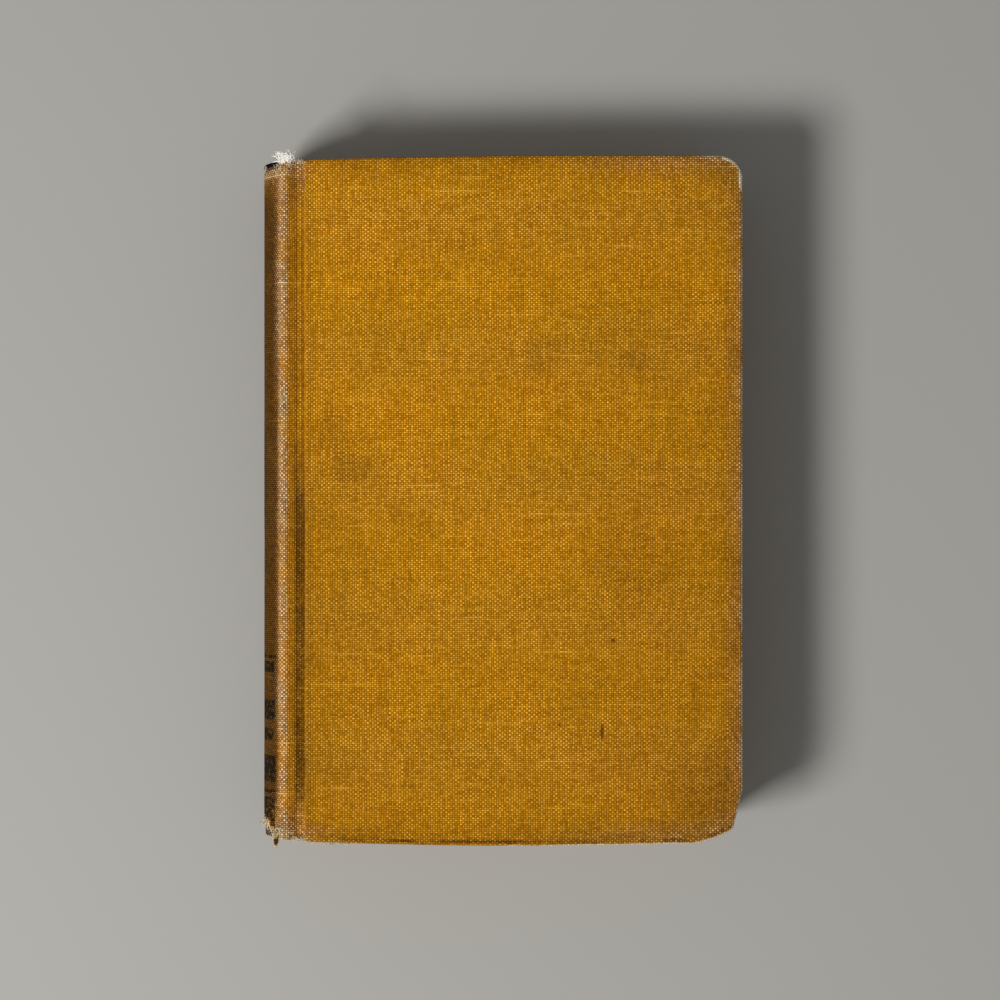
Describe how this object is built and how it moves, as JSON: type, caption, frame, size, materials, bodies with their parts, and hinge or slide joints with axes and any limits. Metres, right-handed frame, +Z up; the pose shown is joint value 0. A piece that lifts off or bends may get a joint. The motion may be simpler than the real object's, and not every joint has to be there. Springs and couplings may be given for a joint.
{
  "type": "hardback book",
  "caption": "Worn cloth-bound hardback book with rounded spine, closed; both covers open on their joints.",
  "frame": {"origin": "middle of the footprint, on the surface that the closed book lies on", "axes": "+Z up, out of the back cover; +Y towards the tail of the book; the spine is on the -X side and the fore edge on the +X side"},
  "size_m": [0.1362, 0.195, 0.032],
  "materials": {
    "book_cloth": "plain-woven mustard book cloth, browned and rubbed on the spine",
    "greyboard": "pressed greyboard",
    "spine_card": "thin grey card",
    "endpaper": "cream wove paper, toned at the edges",
    "book_paper": "toned book paper, cut edges",
    "gauze": "starched open gauze, glued",
    "kraft_paper": "brown kraft paper",
    "linen_thread": "waxed linen thread",
    "cotton_band": "black cotton cord, worked with thread"
  },
  "bodies": {
    "text_block": {"page_block": "book_paper", "sewing_thread": "linen_thread", "spine_mull": "gauze", "spine_lining": "kraft_paper", "spine_card": "spine_card", "spine_cloth": "book_cloth", "head_band": "cotton_band", "tail_band": "cotton_band", "back_flyleaf": "endpaper", "front_flyleaf": "endpaper"},
    "back_cover": {"back_board": "greyboard", "back_cloth": "book_cloth", "back_pastedown": "endpaper", "back_mull_flap": "gauze"},
    "front_cover": {"front_board": "greyboard", "front_cloth": "book_cloth", "front_pastedown": "endpaper", "front_mull_flap": "gauze"}
  },
  "joints": [
    {"name": "back_cover_hinge", "type": "hinge", "parent": "text_block", "child": "back_cover", "pos_m": [-0.0567, 0, 0.032], "axis": [0, -1, 0], "range_deg": [0, 180]},
    {"name": "front_cover_hinge", "type": "hinge", "parent": "text_block", "child": "front_cover", "pos_m": [-0.0567, 0, 0], "axis": [0, 1, 0], "range_deg": [0, 180]}
  ]
}
